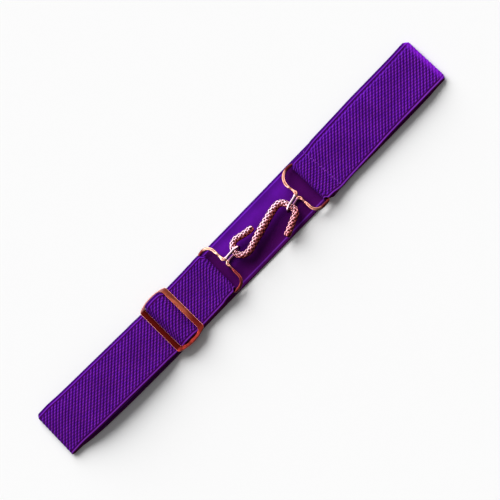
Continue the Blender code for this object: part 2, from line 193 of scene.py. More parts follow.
def skinLoops(name, loops, closed, labels=None):
    # joins loops of points into a closed skin: equal neighbours get quads, others are zipped
    counts = [len(loop) for loop in loops]
    starts = np.concatenate(([0], np.cumsum(counts)))
    points = np.concatenate(loops)
    faces = []
    pairs = list(zip(range(len(loops)), range(1, len(loops))))
    if closed:
        pairs.append((len(loops) - 1, 0))
    for here, there in pairs:
        a, b, n, m = int(starts[here]), int(starts[there]), counts[here], counts[there]
        if n == m:
            faces += [(a + k, a + (k + 1) % n, b + (k + 1) % n, b + k) for k in range(n)]
        else:
            i = j = 0
            while i < n or j < m:  # advance whichever side lags behind
                if j >= m or (i < n and (i + 1) * m <= (j + 1) * n):
                    faces.append((a + i, a + (i + 1) % n, b + j % m))
                    i += 1
                else:
                    faces.append((a + i % n, b + (j + 1) % m, b + j))
                    j += 1
    if not closed:
        faces.append(tuple(range(counts[0]))[::-1])
        last = int(starts[-2])
        faces.append(tuple(range(last, last + counts[-1])))
    mesh = bpy.data.meshes.new(name)
    mesh.from_pydata((points * mm).tolist(), [], faces)
    if labels is not None:  # three numbers a point, which the materials read
        place = mesh.attributes.new("place", "FLOAT_VECTOR", "POINT")
        place.data.foreach_set("vector", np.concatenate(labels).astype(np.float32).ravel())
    return mesh


def addPiece(name, mesh, finish, sharpDeg=None):
    bm = bmesh.new()
    bm.from_mesh(mesh)
    bmesh.ops.recalc_face_normals(bm, faces=bm.faces)
    bm.to_mesh(mesh)
    bm.free()
    mesh.shade_smooth()
    if sharpDeg is not None:
        mesh.set_sharp_from_angle(angle=math.radians(sharpDeg))
    mesh.materials.clear()
    mesh.materials.append(finish)
    made = bpy.data.objects.new(name, mesh)
    bpy.context.scene.collection.objects.link(made)
    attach(made, "root")
    return made


def column(rows, field, x):  # one column of a table of stations, by a cubic that never overshoots
    xs = [row[0] for row in rows]
    ys = [row[field] for row in rows]
    rates = [(ys[i + 1] - ys[i]) / (xs[i + 1] - xs[i]) for i in range(len(xs) - 1)]
    slopes = [0.0] * len(xs)
    for i in range(1, len(xs) - 1):
        if rates[i - 1] * rates[i] > 0.0:
            slopes[i] = 2.0 * rates[i - 1] * rates[i] / (rates[i - 1] + rates[i])
    i = max(0, min(len(xs) - 2, sum(1 for known in xs if known <= x) - 1))
    width = xs[i + 1] - xs[i]
    t = (x - xs[i]) / width
    return (
        ys[i] + (ys[i + 1] - ys[i]) * t * t * (3.0 - 2.0 * t)
        + width * t * (1.0 - t) * (slopes[i] * (1.0 - t) - slopes[i + 1] * t))


ring = {
    "wire": 1.05, "rearHalf": 15.7, "rearCorner": 2.8, "rearZ": 4.05,
    "collar": 1.28, "eyeWire": 0.90, "eyeHalfHeight": 3.78, "eyeZ": 6.2, "eyeBend": 1.5, "eyeRamp": 7.0,
    "frontReach": 2.6,  # the wire may climb to the eye from this far behind the front bar
    "swellAt": 1.2, "swellReach": 1.8, "thinReach": 1.6,  # the collar, by distance from the eye's start
    "sides": 28, "eyeSteps": 12, "cornerStep": 5.0,
    "step": 0.35,  # between sections along the wire
    "closest": 0.05,
    "left_ring": {
        "rearX": -21.9, "facing": 1.0, "half": 16.25, "y": -0.95, "length": 9.4, "lean": -0.5,
        "frontCorners": {1.0: 5.2, -1.0: 5.2}, "eyeY": -0.05, "eyeTurn": 3.0, "eyeLength": 11.95},
    "right_ring": {
        "rearX": 57.05, "facing": -1.0, "half": 16.6, "y": -2.2, "length": 11.4, "lean": 1.3,
        "frontCorners": {1.0: 8.0, -1.0: 5.2}, "eyeY": -2.85, "eyeTurn": -13.0, "eyeLength": 11.45},
}

slider = {
    "x": -58.85, "y": -1.6, "z": 5.65, "turn": 0.6,
    "thick": 1.5, "halfLength": 10.86, "bar": 3.6, "centreBar": 1.4,
    "slotHalf": 16.1, "farSlotHalf": 17.05, "slotBow": 0.9, "cornerHalf": 17.0, "bow": 2.2,
    "slotCorner": 2.6, "slotInnerCorner": 0.3, "slotCrown": 4.0, "outerCorner": 2.3,
    "bevel": 0.7, "bevelSteps": 6, "bevelAngle": 50.0, "smoothAngle": 30.0,
    "cornerStep": 6.0, "sideSteps": 28,
}

cloth = {
    "half": 16.35, "broadHalf": 16.95, "thick": 1.2, "gap": 0.3, "backZ": 0.6,
    "loopHalf": 156.8, "endRadius": 1.05,
    # the corners of the loop's ends are drawn in, by end and edge
    "tucks": {(-1, -1): 0.3, (-1, 1): 1.3, (1, -1): 1.3, (1, 1): 2.3},
    "tuckRun": 6.0, "tuckWidth": 3.0, "tuckEdge": 0.35, "tuckPower": 1.6,
    "foldRadius": 2.1, "foldHalf": 14.5, "leftFoldX": -21.5, "rightFoldX": 57.2,
    "foldWide": 16.0,  # over the ring's legs, before the cloth dips between them
    "foldPinch": 0.5, "pinchShare": 0.16,  # of the fold, at each end, where it narrows
    "wrapRadius": 1.42, "wrapHalf": 15.6, "wrapEnd": -12.0,
    "barGap": 0.12,  # under the slider's bars
    "pathStep": 0.3,
    "ribPitch": 2.7,   # along the belt, and as far across it: the twill climbs at 45 degrees
    "ribHeight": 0.30, "ribPower": 0.85,
    "beadPitch": 1.35,  # across the belt, so 1.9 along a rib
    "beadDepth": 0.42,
    "columnsPerRib": 7, "backColumnsPerRib": 4, "hiddenColumnsPerRib": 3,
    "frontRows": 63, "backRows": 21, "innerRows": 17,
    # rows beside the near and the far edge, by their distance from it
    "fineNear": (0.7, 1.0, 1.3, 1.55, 1.8, 2.05, 2.3),
    "fineFar": (3.1, 2.75, 2.5, 2.2, 1.9, 1.6, 1.2, 0.85),
    "plainNear": (0.9, 1.35, 1.8, 2.3, 2.7, 3.2), "plainFar": (2.6, 2.3, 1.5, 0.9),
    # raised and sunk lines: place from the edge, reach, height
    "nearRidge": (0.85, 0.62, 0.12), "nearGroove": (1.80, 0.45, -0.26),
    "farRidge": (1.90, 0.60, 0.12), "farGroove": (2.75, 0.40, -0.18),
    "weaveStart": 2.05, "farWeaveStart": 2.95, "weaveRise": 0.5,
    "innerShift": 1.3,  # on the inside the near cord lies this much further in
    "edgeRound": 0.45, "edgeSink": 0.1, "edgeAngles": (22.5, 55.0, 90.0, 125.0, 157.5),
    "layerMargin": 4.0,  # fine rows reach this far past a layer's ends
    "squareRun": 26.0,  # the columns follow the ribs, and turn square towards the cut ends
}


def clothTables(c, s):
    layer = c["thick"] + c["gap"]
    back, wide, broad = c["backZ"], c["half"], c["broadHalf"]
    endX = c["loopHalf"] - c["endRadius"] - c["thick"] / 2.0
    endTop = back + 2.0 * c["endRadius"]
    foldTop = back + layer + 2.0 * c["foldRadius"]
    bulge = s["z"] + c["wrapRadius"] + c["thick"]
    under = s["z"] - s["thick"] / 2.0 - c["barGap"] - c["thick"] / 2.0
    second = back + layer
    right, left, bar = c["rightFoldX"], c["leftFoldX"], s["x"]
    fold, over = c["foldHalf"], c["foldWide"]
    # each row: x, z, y of the cloth's middle, roll that lifts its near edge, half its width
    return {
        "endX": endX,
        "sewnEnd": (
            (right, second, -2.0, 0.0, fold), (60.0, second, -1.8, 0.0, wide),
            (73.6, second, -1.1, 0.0, wide)),
        "frontRight": (
            (right, foldTop, -2.0, 0.0, over), (60.0, 6.1, -1.95, 0.0, over),
            (66.9, 3.9, -1.75, 0.0, wide + 0.2), (75.0, 3.7, -0.9, 0.0, broad),
            (93.0, 4.1, -0.45, 0.5, broad), (110.0, 4.3, 0.1, 1.5, broad),
            (126.0, 4.2, 0.35, 2.5, broad), (141.0, 4.0, 0.6, 2.5, broad),
            (149.0, 3.3, 1.0, 1.0, broad), (endX, endTop, 1.25, 0.0, broad)),
        "back": tuple((x, back, y, 0.0, half) for x, y, half in (
            (-endX, 0.85, wide), (-149.5, 0.7, wide), (-142.0, -0.1, 16.6), (-130.0, -0.9, 16.7),
            (-106.0, -1.6, 16.7), (-74.0, -1.75, 16.7), (-43.0, -1.05, 16.7), (0.0, -0.75, 16.7),
            (35.0, -0.4, 16.7), (60.0, -0.1, 16.7), (93.0, 0.0, 16.9), (118.0, 0.2, broad),
            (141.0, 0.6, broad), (149.0, 1.15, broad), (endX, 1.25, broad))),
        "frontLeft": (
            (-endX, endTop, 0.85, 0.0, wide), (-149.0, 3.5, 0.8, 0.5, wide),
            (-137.7, 5.9, -0.4, 1.5, wide), (-125.8, 7.3, -1.2, 1.5, wide),
            (-114.0, 7.7, -1.55, 1.5, wide), (-96.2, 7.3, -1.85, 1.0, wide),
            (-84.4, 6.6, -1.9, 1.0, wide), (-76.5, 5.5, -1.65, 0.5, wide),
            (-70.7, under, -1.5, 0.0, wide), (-66.0, under + 0.1, -1.5, 0.0, wide),
            (-64.3, 6.0, -1.4, -2.0, wide + 0.4), (-62.3, bulge - 0.3, -1.3, -3.0, wide + 0.7),
            (bar, bulge, -1.3, -3.5, wide + 0.75), (-55.4, bulge - 0.3, -1.3, -3.0, wide + 0.7),
            (-53.4, 6.0, -1.4, -2.0, wide + 0.4), (-51.7, under + 0.1, -1.4, 0.0, wide),
            (-46.0, under, -1.35, 0.0, wide), (-36.0, 4.2, -1.2, 0.0, wide),
            (-31.0, 4.6, -1.15, 0.0, wide), (-27.5, 5.6, -1.1, 0.0, over),
            (-24.5, 6.25, -1.1, 0.0, over), (left, foldTop, -1.1, 0.0, over)),
        "returned": (
            (bar, s["z"] - c["wrapRadius"], -1.5, 0.0, c["wrapHalf"]), (-56.5, 3.6, -1.5, 0.0, wide),
            (-52.5, 2.25, -1.4, 0.0, wide), (-49.0, second, -1.35, 0.0, wide),
            (-36.0, second, -1.15, 0.0, wide), (-24.5, second, -1.1, 0.0, wide),
            (left, second, -1.1, 0.0, fold)),
    }


class ClothPath:
    # the webbing's middle from its sewn end, round the loop, to its end at the slider
    def __init__(self, c, s):
        tables = clothTables(c, s)
        self.c = c
        self.endX = tables["endX"]
        back, r = c["backZ"], c["endRadius"]
        foldZ = back + c["thick"] + c["gap"] + c["foldRadius"]
        rows = []
        self.marks = {}

        def run(name, backwards=False):
            table = tables[name]
            count = math.ceil((table[-1][0] - table[0][0]) / c["pathStep"])
            xs = np.linspace(table[0][0], table[-1][0], count + 1)
            made = [(x, *(column(table, field, x) for field in range(1, 5))) for x in xs]
            self.marks[name] = (len(rows), len(rows) + len(made))
            rows.extend(made[::-1] if backwards else made)

        def bend(centreX, centreZ, radius, fromDeg, toDeg, after, pinch=0.0):
            before = rows[-1]
            steps = math.ceil(abs(math.radians(toDeg - fromDeg)) * radius / c["pathStep"])
            for step in range(1, steps):
                t = step / steps
                angle = math.radians(fromDeg + (toDeg - fromDeg) * t)
                y, roll = (before[f] * (1.0 - t) + after[f] * t for f in (2, 3))
                half = before[4] * (1.0 - t) + after[4] * t
                if pinch:  # it narrows at once, to pass between the legs
                    share = c["pinchShare"]
                    half = before[4] + (c["foldHalf"] - before[4]) * float(ease(t / share))
                    half += (after[4] - half) * float(ease((t - 1.0 + share) / share))
                rows.append((
                    centreX + radius * math.cos(angle), centreZ + radius * math.sin(angle),
                    y, roll, half - pinch * math.sin(math.pi * t)))

        run("sewnEnd", True)
        bend(c["rightFoldX"], foldZ, c["foldRadius"], 270, 90, tables["frontRight"][0], c["foldPinch"])
        run("frontRight")
        bend(self.endX, back + r, r, 90, -90, tables["back"][-1])
        run("back", True)
        bend(-self.endX, back + r, r, 270, 90, tables["frontLeft"][0])
        run("frontLeft")
        bend(c["leftFoldX"], foldZ, c["foldRadius"], 90, -90, tables["returned"][-1], c["foldPinch"])
        run("returned", True)
        bend(s["x"], s["z"], c["wrapRadius"], 270, c["wrapEnd"], rows[-1])
        rows = np.array(rows)
        steps = np.hypot(np.diff(rows[:, 0]), np.diff(rows[:, 1]))
        self.along = np.concatenate(([0.0], np.cumsum(steps)))
        self.rows = rows
        tx, tz = np.gradient(rows[:, 0], self.along), np.gradient(rows[:, 1], self.along)
        size = np.hypot(tx, tz)
        self.tangents = tx / size, tz / size
        self.length = self.along[-1]

    def at(self, name, end):  # length along the path at the start or the end of a layer
        first, last = self.marks[name]
        return self.along[last - 1] if end else self.along[first]

    def points(self, s, w, n):  # s along, w across (nominal), n out of the cloth's middle
        c = self.c
        x, z, y, roll, half = (np.interp(s, self.along, self.rows[:, k]) for k in range(5))
        tx, tz = (np.interp(s, self.along, t) for t in self.tangents)
        size = np.hypot(tx, tz)
        ox, oz = -tz / size, tx / size
        roll = np.radians(roll)
        sideways = w * half / c["half"]
        px = x + ox * (n * np.cos(roll) - sideways * np.sin(roll))
        pz = z + oz * (n * np.cos(roll) - sideways * np.sin(roll))
        py = y + sideways * np.cos(roll) + n * np.sin(roll)
        nearEnd = ease((np.abs(x) - self.endX + c["tuckRun"]) / c["tuckRun"])
        inCorner = (np.abs(w) - c["half"] + c["tuckWidth"]) / (c["tuckWidth"] - c["tuckEdge"])
        inCorner = np.clip(inCorner, 0.0, 1.0) ** c["tuckPower"]
        for (end, edge), tuck in c["tucks"].items():
            mine = (np.sign(x) == end) & (np.sign(w) == edge)
            px = px - np.where(mine, end * nearEnd * inCorner * tuck, 0.0)
        return np.stack([px, py + axisY, pz], axis=-1)


def ridgeAt(distance, ridge):
    place, reach, height = ridge
    return height * hump((distance - place) / reach)


def clothHeight(c, s, w, twill):
    near, far = c["half"] + w - c["innerShift"] * (1.0 - twill), c["half"] - w
    edge = (
        ridgeAt(near, c["nearRidge"]) + ridgeAt(near, c["nearGroove"])
        + ridgeAt(far, c["farRidge"]) + ridgeAt(far, c["farGroove"]))
    woven = ease((near - c["weaveStart"]) / c["weaveRise"])
    woven = woven * ease((far - c["farWeaveStart"]) / c["weaveRise"])
    phase = (s - w) / c["ribPitch"]
    rib = (0.5 + 0.5 * np.cos(2.0 * math.pi * phase)) ** c["ribPower"]
    shift = 0.5 * (np.round(phase) % 2.0)
    bead = 0.5 + 0.5 * np.cos(2.0 * math.pi * (w / c["beadPitch"] + shift))
    body = rib * (1.0 - c["beadDepth"] * (1.0 - bead)) - 1.0
    return edge + twill * woven * c["ribHeight"] * body


def clothRows(c, count, fine):  # places across one face, from the near edge to the far one
    half = c["half"]
    near = [c["edgeRound"], *c["fineNear" if fine else "plainNear"]]
    far = [*c["fineFar" if fine else "plainFar"], c["edgeRound"]]
    between = count - len(near) - len(far)
    inner = np.linspace(-half + near[-1], half - far[0], between + 2)[1:-1]
    return np.concatenate([-half + np.array(near), inner, half - np.array(far)])


def makeCloth(c, path, finish):
    total = path.length

    def within(name, at, reach=0.0):
        margin = c["layerMargin"] + reach
        return path.at(name, False) - margin < at < path.at(name, True) + margin

    places, kinds, at = [], [], 0.0
    while at < total:
        if within("frontRight", at, c["half"]) or within("frontLeft", at, c["half"]):
            kind, columns = "frontRows", c["columnsPerRib"]
        elif within("back", at):
            kind, columns = "backRows", c["backColumnsPerRib"]
        else:
            kind, columns = "backRows", c["hiddenColumnsPerRib"]
        places.append(at)
        kinds.append(kind)
        at += c["ribPitch"] / columns
    places.append(total)
    kinds.append("backRows")
    half, thick = c["half"], c["thick"] / 2.0
    angles = np.radians(c["edgeAngles"])
    roundW = c["edgeRound"] * (1.0 - np.sin(angles))  # how far inside the edge
    roundN = (thick - c["edgeSink"]) * np.cos(angles)
    inner = clothRows(c, c["innerRows"], False)[::-1]
    loops, labels = [], []
    for place, kind in zip(places, kinds):
        outer = clothRows(c, c[kind], kind == "frontRows")
        lean = ease(place / c["squareRun"]) * ease((total - place) / c["squareRun"])
        w = np.concatenate([outer, half - roundW, inner, -half + roundW[::-1]])
        n = np.concatenate([
            np.full(len(outer), thick), roundN, np.full(len(inner), -thick), roundN[::-1]])
        s = np.clip(place + lean * w, 0.0, total)
        lift = np.zeros(len(w))
        lift[:len(outer)] = clothHeight(c, s[:len(outer)], outer, 1.0)
        at = slice(len(outer) + len(roundW), len(outer) + len(roundW) + len(inner))
        lift[at] = -clothHeight(c, s[at], inner, 0.0)
        loops.append(path.points(s, w, n + lift))
        side = np.zeros(len(w))
        side[:len(outer)] = 1.0
        labels.append(np.stack([s, w, side], axis=-1))
    mesh = skinLoops("webbing", loops, False, labels)
    return addPiece("webbing", mesh, finish)


weave = {
    # ridge against valley: the valleys' darkness is painted shade between the ribs
    "ridge": rgb(0.260, 0.0240, 0.520),
    "ridgeFar": rgb(0.290, 0.0260, 0.740),  # painted light: lighter towards the lit far edge and the right end
    "ridgeBlue": rgb(0.125, 0.0060, 0.600),  # in patches, where the dye took otherwise
    "valley": rgb(0.020, 0.0010, 0.046),
    # the valleys, under the same painted light
    "valleyFar": rgb(0.030, 0.0012, 0.085),
    # painted highlights along the lit flanks of the cords
    "cordNear": rgb(0.205, 0.0290, 0.480),
    "cordFar": rgb(0.215, 0.0230, 0.680),
    "paintedEndLight": rgb(0.300, 0.0150, 0.800),  # painted light over the fold at the right end
    # painted shade on the near edge, which turns away from the lamp
    "rimNear": rgb(0.060, 0.0010, 0.020),
    "rim": rgb(0.046, 0.0020, 0.165),  # outside the far cord, where the cloth turns to the light
    "inside": rgb(0.060, 0.0022, 0.055),
    "insideFar": rgb(0.115, 0.0060, 0.330),
    # lighter yarn tops in the plain weave: painted light
    "insideThread": rgb(0.110, 0.0070, 0.300),
    "roughness": 0.9, "roughSpread": 0.3,
    "bump": 0.5, "bumpDepth": 0.00012, "beadBump": 0.9,
    "yarn": 0.42,  # width of one yarn in the plain weave, mm
    "cellScale": 1.3, "patchScale": 0.07, "dyeScale": 0.55,
    "dyePatch": (0.40, 0.60), "dyeShare": 0.55,
    "wornPatch": (0.3, 0.7), "wornShare": 0.2,
    "beadShare": 0.72,  # painted shade: how much darker a rib gets between its beads
    # places across the cloth are in mm, places along the belt in metres
    # painted light, towards the far edge and towards the right end
    "farLight": (3.0, 17.0), "farShare": 0.6,
    "eastLight": (0.03, 0.13), "eastShare": 0.35,
    # the inside is lit between these places, and shaded past them
    "open": (-0.0150, -0.0115, 0.0440, 0.0475), "openAcross": (-9.0, 11.0),
    # painted lines of light and shade along the cloth: where each starts, is full, is full to and ends,
    # from its edge
    "cordNearLine": (0.3, 0.65, 1.05, 1.4), "cordNearShare": (0.7, 0.3), "cordNearRise": (-0.02, 0.09),
    "cordFarLine": (1.4, 1.7, 2.0, 2.35), "cordFarShare": 0.85,
    # painted shade in the groove beside the near cord
    "grooveLine": (1.3, 1.55, 1.95, 2.3), "grooveShare": 0.55,
    # painted highlight along a second line on the right half, with painted shade between it and the far
    # cord
    "secondCordLightLine": (3.3, 3.6, 3.9, 4.2), "secondCordLightShare": 0.65,
    "betweenLine": (2.3, 2.5, 3.0, 3.3), "betweenShare": 0.5,
    "secondCordLightFrom": (0.055, 0.065),
    "rimFrom": (1.0, 1.4), "rimShare": 0.9,
    "rimNearFrom": (0.25, 0.6), "rimNearShare": 0.85,
    # where the painted light on the right end starts and is full
    "paintedEndLightFrom": (0.1520, 0.1562), "paintedEndLightShare": 0.7,
}


def clothFinish(c, f):
    made, w, shader = startFinish("purpleElastic")
    at = w.node("ShaderNodeAttribute", {"attribute_name": "place"}, None, 1)
    along, across, outside = at.part(0), at.part(1), at.part(2)
    east = w.node("ShaderNodeTexCoord", None, None, 3).part(0)
    phase = (along - across) / c["ribPitch"]
    rib = phase.wave()
    odd = w.maths("MODULO", w.maths("ROUND", phase), 2.0) * 0.5
    bead = (across / c["beadPitch"] + odd).wave()
    near, far = across + c["half"], c["half"] - across
    woven = near.rise(c["weaveStart"] - 0.1, c["weaveStart"] + 0.4)
    woven = woven * far.rise(c["farWeaveStart"] - 0.1, c["farWeaveStart"] + 0.4)
    ribbed = woven * outside
    cell = at.noise(f["cellScale"], 3.0, 0.6, "2D")
    patch = at.noise(f["patchScale"], 2.0, 0.5, "2D")
    dye = at.noise(f["dyeScale"], 2.0, 0.7, "2D")
    threads = (along / f["yarn"]).wave() * (across / f["yarn"]).wave()
    # painted light: lighter towards the far edge, which faces the lamp, and towards the right end
    bright = across.rise(*f["farLight"]) * f["farShare"] + east.rise(*f["eastLight"]) * f["eastShare"]
    # painted shade: darker in the valleys between ribs and between beads, varied at random by the cells
    shade = rib * (bead * f["beadShare"] + (1.0 - f["beadShare"])) * (cell + 0.5)
    ridge = bright.mix(f["ridge"], f["ridgeFar"])
    ridge = (dye.rise(*f["dyePatch"]) * f["dyeShare"]).mix(ridge, f["ridgeBlue"])
    twill = shade.mix(bright.mix(f["valley"], f["valleyFar"]), ridge)
    lit = across.rise(*f["openAcross"]) * east.band(*f["open"])
    plain = lit.mix(f["inside"], f["insideFar"])
    # painted light on the yarns' tops, with tone that differs at random from the cells
    plain = (threads * 0.25 + cell * 0.25).mix(plain, f["insideThread"])
    face = ribbed.mix(plain, twill)
    face = ((1.0 - far.rise(*f["rimFrom"])) * f["rimShare"]).mix(face, f["rim"])
    # painted shade on the near edge
    face = ((1.0 - near.rise(*f["rimNearFrom"])) * f["rimNearShare"]).mix(face, f["rimNear"])
    least, more = f["cordNearShare"]
    # painted highlight along the near cord, stronger towards the right
    cordNear = (near - (1.0 - outside) * c["innerShift"]).band(*f["cordNearLine"])
    face = (cordNear * (east.rise(*f["cordNearRise"]) * more + least)).mix(face, f["cordNear"])
    # painted highlights along the far cord and, on the right half, a second line, with painted shade
    # between them
    rightHalf = east.rise(*f["secondCordLightFrom"]) * outside
    secondCordLight = far.band(*f["secondCordLightLine"]) * rightHalf
    cordFar = far.band(*f["cordFarLine"])
    face = (cordFar * f["cordFarShare"] + secondCordLight * f["secondCordLightShare"]).mix(face, f["cordFar"])
    between = far.band(*f["betweenLine"]) * rightHalf
    face = (between * f["betweenShare"]).mix(face, f["valleyFar"])
    # painted shade in the groove beside the near cord
    groove = near.band(*f["grooveLine"]) * outside
    face = (groove * f["grooveShare"]).mix(face, f["valley"])
    # painted light on the fold at the right end
    paintedEndLight = east.rise(*f["paintedEndLightFrom"]) * outside
    face = (paintedEndLight * f["paintedEndLightShare"]).mix(face, f["paintedEndLight"])
    colour = (patch.rise(*f["wornPatch"]) * f["wornShare"]).mix(face, f["valley"])
    relief = threads * 0.5 + cell * 0.5 + ribbed * bead * f["beadBump"]
    setSockets(w, shader, {
        "Base Color": colour,
        "Roughness": f["roughness"] - cell * f["roughSpread"],
        "Normal": relief.bump(f["bump"], f["bumpDepth"]),
        "Specular IOR Level": 0.05,
    })
    return made


clothPath = ClothPath(cloth, slider)
purple = clothFinish(cloth, weave)
webbing = makeCloth(cloth, clothPath, purple)
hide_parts("webbing_strap")
print("webbing", len(webbing.data.polygons), "faces, path", round(clothPath.length, 1))


def tubeLoops(points, radii, sides, closed, relief=None):
    # round sections carried along a path without twist; a closed one shares out what is left
    count = len(points)
    points = [Vector(p) for p in points]
    ways = []
    for k in range(count):
        before = points[k - 1] if closed or k else points[0]
        after = points[(k + 1) % count] if closed or k < count - 1 else points[-1]
        ways.append((after - before).normalized())
    side = Vector((0.0, 0.0, 1.0)).cross(ways[0]).normalized()
    carried = [side]
    for before, after in zip(ways, ways[1:]):
        side = before.rotation_difference(after) @ side
        side = (side - after * side.dot(after)).normalized()
        carried.append(side)
    leftOver = 0.0
    if closed:
        back = ways[-1].rotation_difference(ways[0]) @ side
        leftOver = math.atan2(back.cross(carried[0]).dot(ways[0]), back.dot(carried[0]))
    angles = np.arange(sides) * (2.0 * math.pi / sides)
    loops = []
    for k in range(count):
        out = Quaternion(ways[k], leftOver * k / count) @ carried[k]
        up = ways[k].cross(out)
        size = radii[k] + (relief(k, angles) if relief else 0.0)
        spokes = np.outer(np.cos(angles), np.array(out)) + np.outer(np.sin(angles), np.array(up))
        loops.append(np.array(points[k]) + spokes * np.broadcast_to(size, (sides,))[:, None])
    return loops


def roundCorners(corners, stepDeg):
    made = [Vector(corners[0][:2])]
    for before, (x, y, radius), after in zip(corners, corners[1:], corners[2:]):
        corner = Vector((x, y))
        back = (Vector(before[:2]) - corner).normalized()
        ahead = (Vector(after[:2]) - corner).normalized()
        opening = back.angle(ahead)
        centre = corner + (back + ahead).normalized() * (radius / math.sin(opening / 2.0))
        start = corner + back * (radius / math.tan(opening / 2.0)) - centre
        sweep = -math.copysign(math.pi - opening, back.x * ahead.y - back.y * ahead.x)
        steps = max(2, math.ceil(abs(math.degrees(sweep)) / stepDeg))
        for part in range(steps + 1):
            made.append(centre + Matrix.Rotation(sweep * part / steps, 2) @ start)
    made.append(Vector(corners[-1][:2]))
    return made


def divide(points, longest):
    made = [points[0]]
    for here, there in zip(points, points[1:]):
        parts = max(1, math.ceil((there - here).length / longest))
        made += [here.lerp(there, part / parts) for part in range(1, parts + 1)]
    return made


def ringHalf(r, own, side):
    # from the rear bar's middle to the eye's far end; plan x runs from the rear bar to the eye
    eyeY = own["eyeY"] - own["y"]
    turn = math.radians(own["eyeTurn"])
    way = Vector((math.cos(turn), math.sin(turn)))
    eyeStart = Vector((own["length"], eyeY))
    railEnd = eyeStart + way * (own["eyeLength"] - r["eyeHalfHeight"])
    cornerX = own["length"] + (own["lean"] if side > 0.0 else 0.0)
    plan = divide(roundCorners([
        (0.0, 0.0, 0.0), (0.0, side * r["rearHalf"], r["rearCorner"]),
        (cornerX, side * own["half"], own["frontCorners"][side]),
        (eyeStart.x, eyeStart.y, r["eyeBend"]), (railEnd.x, railEnd.y, 0.0)], r["cornerStep"]), r["step"])
    made = []
    for point in plan:
        fromEye = (point - eyeStart).length
        onRail = point.x > own["length"] + r["eyeBend"]
        nearFront = point.x > own["length"] - r["frontReach"]
        climb = 1.0 if onRail else float(ease(1.0 - (fromEye - r["eyeBend"]) / r["eyeRamp"]))
        lift = side * r["eyeHalfHeight"] * climb if nearFront else 0.0
        plane = r["rearZ"] + (r["eyeZ"] - r["rearZ"]) * min(1.0, point.x / own["length"])
        wire = r["wire"]
        if nearFront and fromEye < r["eyeRamp"]:
            # the cast wire swells where it turns into the eye, then thins along the rail
            swell = float(ease(1.0 - abs(fromEye - r["swellAt"]) / r["swellReach"]))
            wire += (r["collar"] - r["wire"]) * swell
            if point.x > own["length"]:
                wire += (r["eyeWire"] - wire) * float(ease((fromEye - r["swellAt"]) / r["thinReach"]))
        elif onRail:
            wire = r["eyeWire"]
        made.append((Vector((point.x, point.y, plane + lift)), wire))
    for part in range(1, r["eyeSteps"] + 1):
        angle = 0.5 * math.pi * part / r["eyeSteps"]
        spot = railEnd + way * (r["eyeHalfHeight"] * math.sin(angle))
        height = r["eyeZ"] + side * r["eyeHalfHeight"] * math.cos(angle)
        made.append((Vector((spot.x, spot.y, height)), r["eyeWire"]))
    return made


def makeRing(r, name, finish):
    own = r[name]
    path = ringHalf(r, own, 1.0) + ringHalf(r, own, -1.0)[-2:0:-1]
    points, radii = [], []
    for point, wire in path:
        spot = Vector((own["rearX"] + own["facing"] * point.x, own["y"] + axisY + point.y, point.z))
        if not points or (spot - points[-1]).length > r["closest"]:
            points.append(spot)
            radii.append(wire)
    mesh = skinLoops(name + "_wire", tubeLoops(points, radii, r["sides"], True), True)
    made = addPiece(name + "_wire", mesh, finish)
    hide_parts(name)


snake = {
    "z": 6.1, "start": (11.8, 3.12), "heading": 175.3, "headRadius": 2.1,
    "bends": (  # length, turn in degrees, radius at its end
        (9.35, -12.4, 2.0), (5.0, 52.0, 1.9), (13.0, 136.0, 2.05), (4.0, 27.0, 2.20),
        (12.0, -2.0, 2.60), (12.5, -2.0, 2.35), (4.5, -11.0, 2.25), (6.2, -74.0, 2.05),
        (5.3, -12.0, 2.05), (5.1, -73.0, 2.15), (11.6, -1.0, 2.2)),
    "step": 0.17, "sides": 70,
    "scalePitch": 3.1,  # along the body
    "scalesRound": 5,
    "groove": -0.55, "crown": 0.20,
    "lozenge": 0.45,  # share of each scale that is a rounded lozenge, against sharp pits
    "tipReach": 0.9, "tipSteps": 9,
    "tipPower": 0.55,  # blunter than a ball
    "tipFade": 0.8,  # the scales run out over this length at the tips
}


def snakePath(c):
    x, y = c["start"]
    heading = math.radians(c["heading"])
    radius = c["headRadius"]
    points, radii, along = [(x, y + axisY, c["z"])], [radius], [0.0]
    for length, turn, endRadius in c["bends"]:
        steps = max(1, round(length / c["step"]))
        bit = math.radians(turn) / steps
        for step in range(1, steps + 1):
            x += length / steps * math.cos(heading + bit / 2.0)
            y += length / steps * math.sin(heading + bit / 2.0)
            heading += bit
            points.append((x, y + axisY, c["z"]))
            radii.append(radius + (endRadius - radius) * float(ease(step / steps)))
            along.append(along[-1] + length / steps)
        radius = endRadius
    return np.array(points), np.array(radii), np.array(along)


